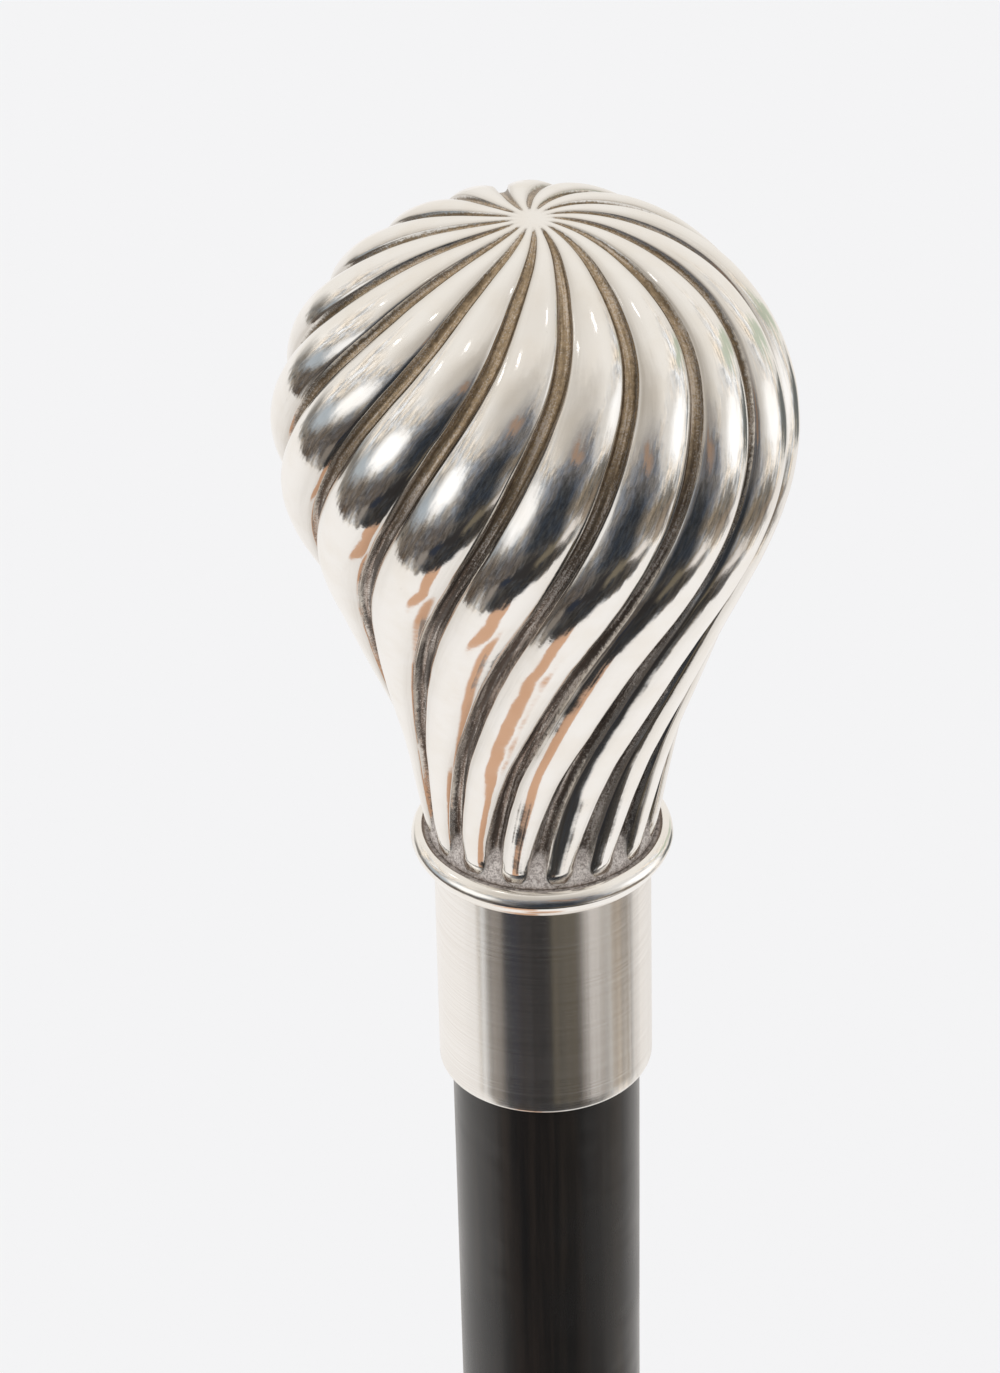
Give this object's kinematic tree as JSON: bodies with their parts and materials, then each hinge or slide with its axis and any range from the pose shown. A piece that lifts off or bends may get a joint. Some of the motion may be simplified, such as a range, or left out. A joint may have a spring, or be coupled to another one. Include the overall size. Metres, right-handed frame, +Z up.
{
  "type": "knob handle walking stick",
  "caption": "Straight walking stick to lean on, with a hollow twist-lobed round knob handle, bead ring, plain collar, tapered wooden shaft and capped metal foot.",
  "frame": {"origin": "centre of the foot's flat face", "axes": "+Z up the stick towards the knob, -Y towards the viewer of the picture"},
  "size_m": [0.0494, 0.0494, 0.9149],
  "materials": {
    "knob_silver": "polished silver, lightly tarnished in the grooves",
    "ring_silver": "polished silver",
    "filler_resin": "matte",
    "insert_brass": "turned",
    "stud_steel": "turned",
    "collar_silver": "satin silver, fine lines around",
    "plate_silver": "plain",
    "shaft_wood": "ebonised, satin polish",
    "ferrule_brass": "worn polish",
    "tip_steel": "worn",
    "pin_brass": "filed flush"
  },
  "bodies": {
    "root": {"knob_shell": "knob_silver", "knob_base_ring": "ring_silver", "knob_filler": "filler_resin", "knob_insert": "insert_brass", "joint_stud": "stud_steel", "collar_tube": "collar_silver", "collar_top_plate": "plate_silver", "shaft": "shaft_wood", "ferrule_sleeve": "ferrule_brass", "ferrule_tip": "tip_steel", "ferrule_pin": "pin_brass"}
  },
  "joints": []
}
